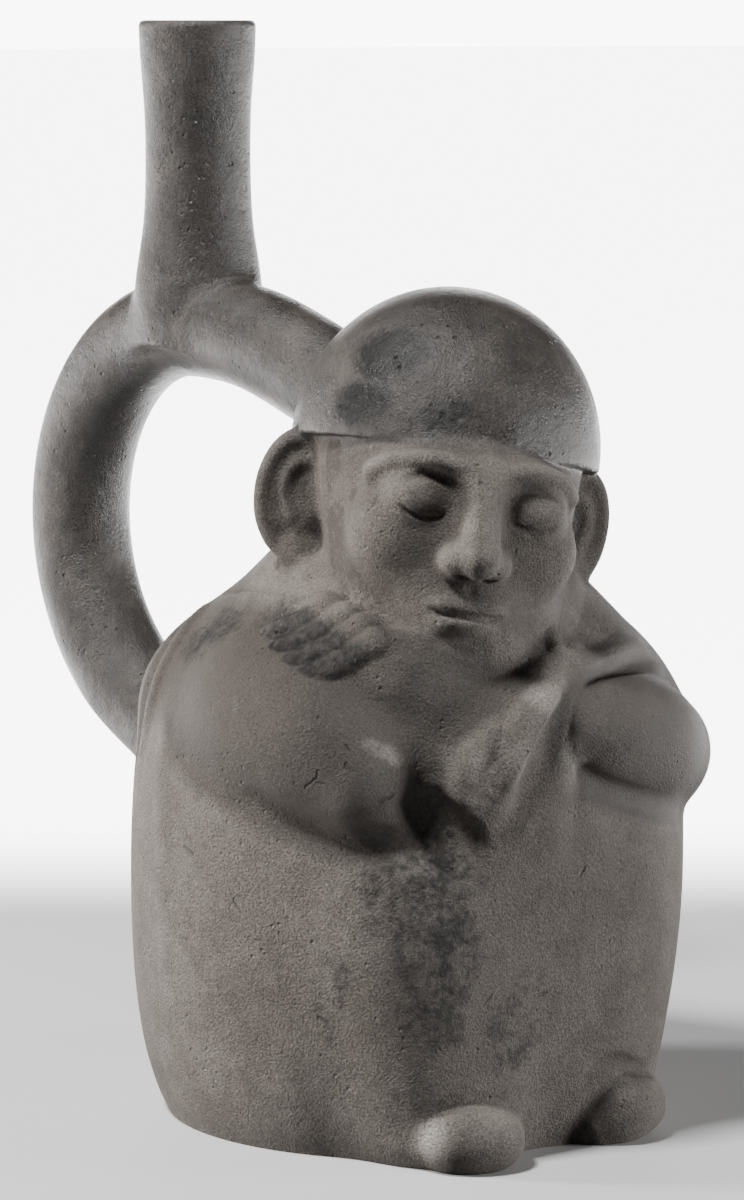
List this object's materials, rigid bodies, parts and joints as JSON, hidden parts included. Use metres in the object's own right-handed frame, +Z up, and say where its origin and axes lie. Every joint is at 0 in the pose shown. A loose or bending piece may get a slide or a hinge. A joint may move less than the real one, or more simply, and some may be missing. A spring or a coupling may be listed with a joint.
{
  "type": "effigy bottle",
  "caption": "Hollow fired-clay bottle shaped as a crouching, dozing figure in a round cap, with a stirrup handle and an upright spout behind the head.",
  "frame": {"origin": "middle of the flat underside that the bottle stands on", "axes": "+Z up along the spout; the figure's front faces -Y; its right hand is on the -X side; the stirrup and spout stand behind it on the +Y side"},
  "size_m": [0.1229, 0.201, 0.24],
  "materials": {
    "fired_clay": "matte fired clay, burnished and darker on spout, stirrup and cap"
  },
  "bodies": {
    "root": {"effigy_bottle": "fired_clay"}
  },
  "joints": []
}
